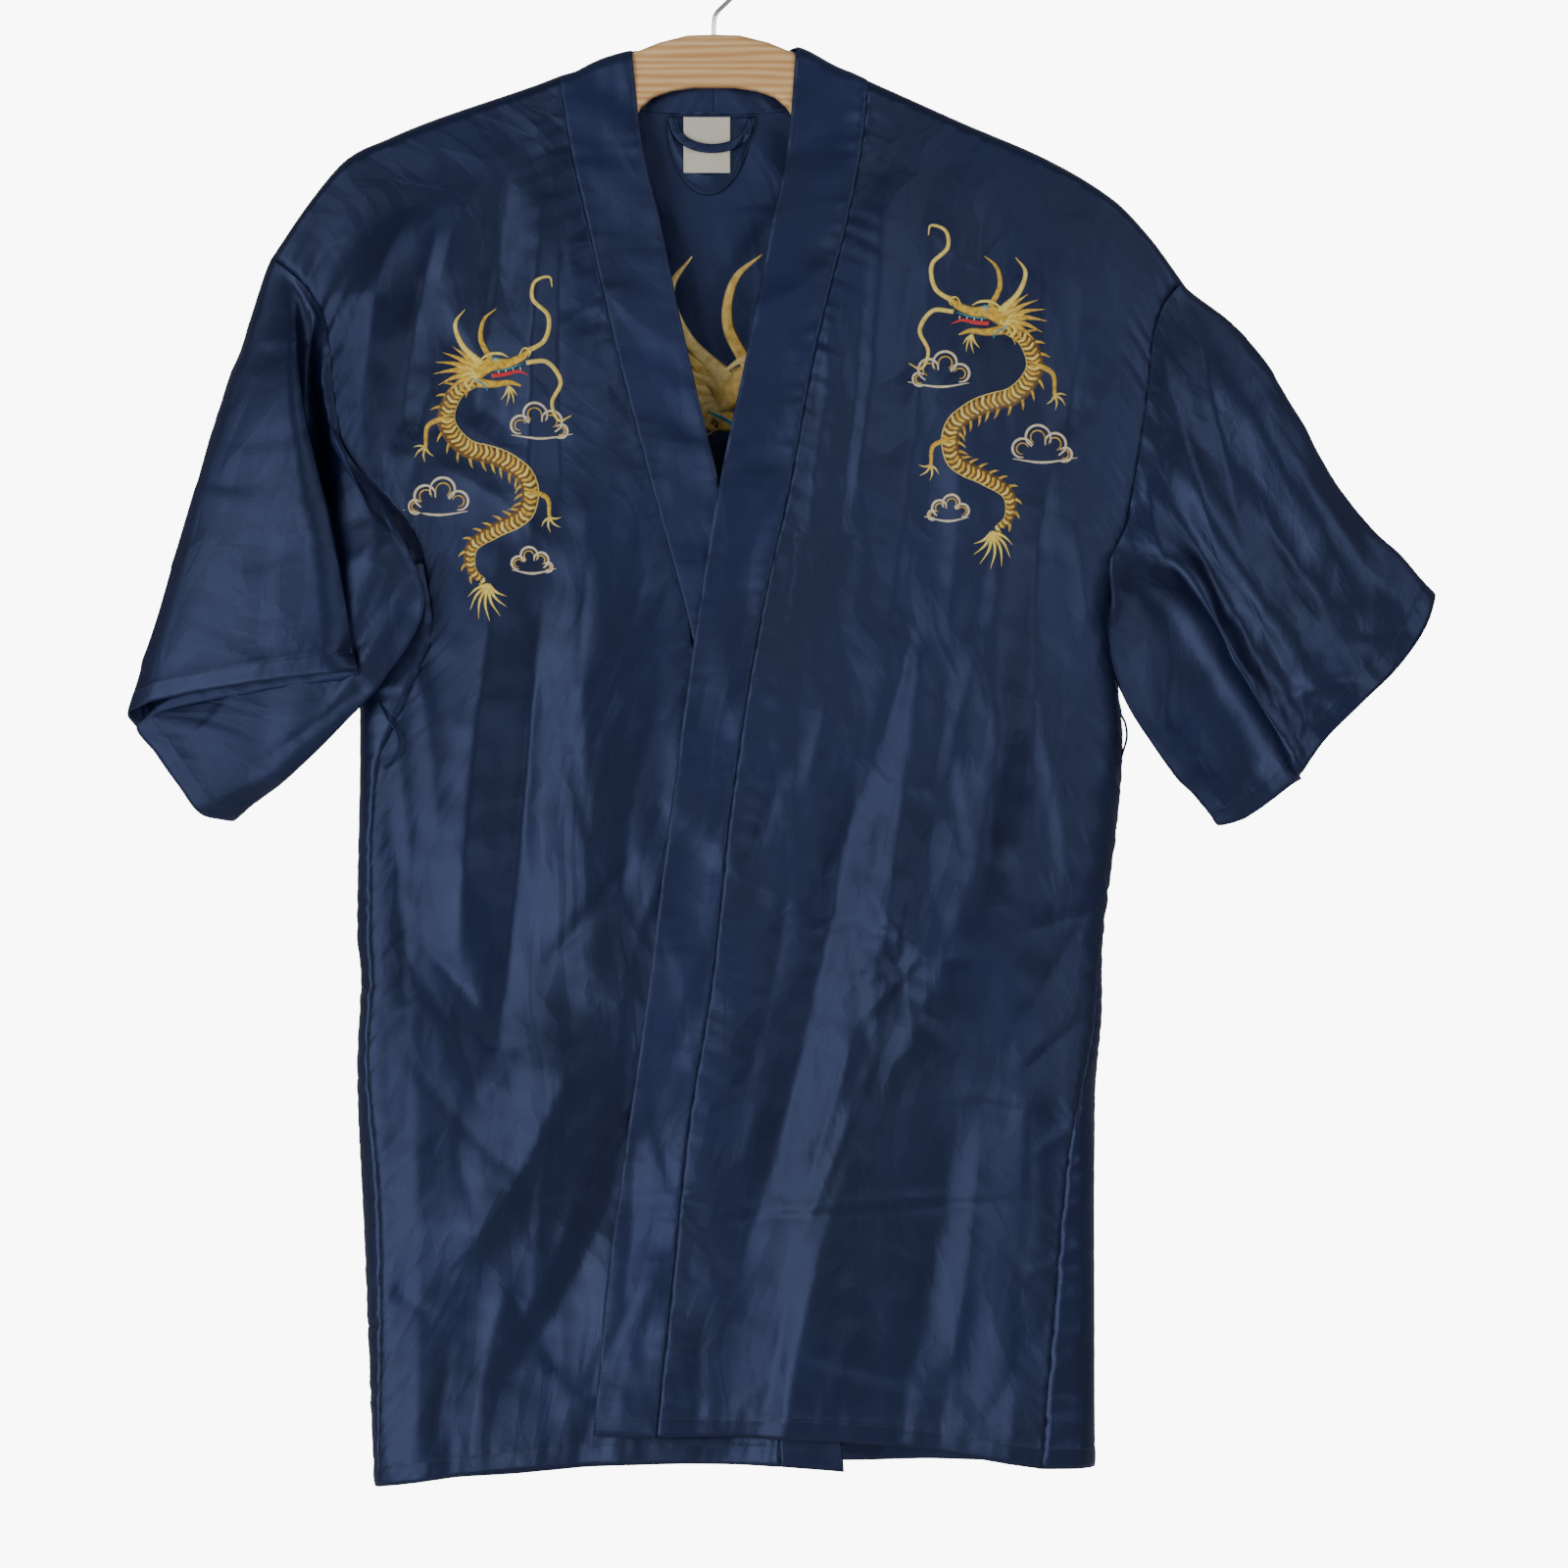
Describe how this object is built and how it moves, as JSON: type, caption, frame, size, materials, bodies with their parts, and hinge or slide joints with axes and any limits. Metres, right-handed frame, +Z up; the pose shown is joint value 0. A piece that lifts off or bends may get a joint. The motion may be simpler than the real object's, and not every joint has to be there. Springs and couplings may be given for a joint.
{
  "type": "satin kimono robe on a hanger",
  "caption": "Short navy satin kimono robe with a crossed front band, drop sleeves and dragon and cloud embroidery, hung on a pale wooden hanger with a wire hook",
  "frame": {"origin": "where the crown of the hanger's hook sits on its rail", "axes": "+Z up, -Y the front of the robe, +X the viewer's right, which is the wearer's left"},
  "size_m": [1.0046, 0.0738, 1.1785],
  "materials": {
    "satin": "navy polyester satin",
    "band_satin": "doubled navy polyester satin",
    "label_cloth": "bare woven label cloth",
    "hanger_wood": "pale lacquered wood",
    "hook_wire": "bright plated wire"
  },
  "bodies": {
    "root": {"back": "satin", "front_left": "satin", "front_right": "satin", "sleeve_left": "satin", "sleeve_right": "satin", "band_left": "band_satin", "band_right": "band_satin", "neck_patch": "satin", "hanging_loop": "satin", "label": "label_cloth", "belt_loop_left": "satin", "belt_loop_right": "satin", "hanger_wood": "hanger_wood", "hanger_hook": "hook_wire"}
  },
  "joints": []
}
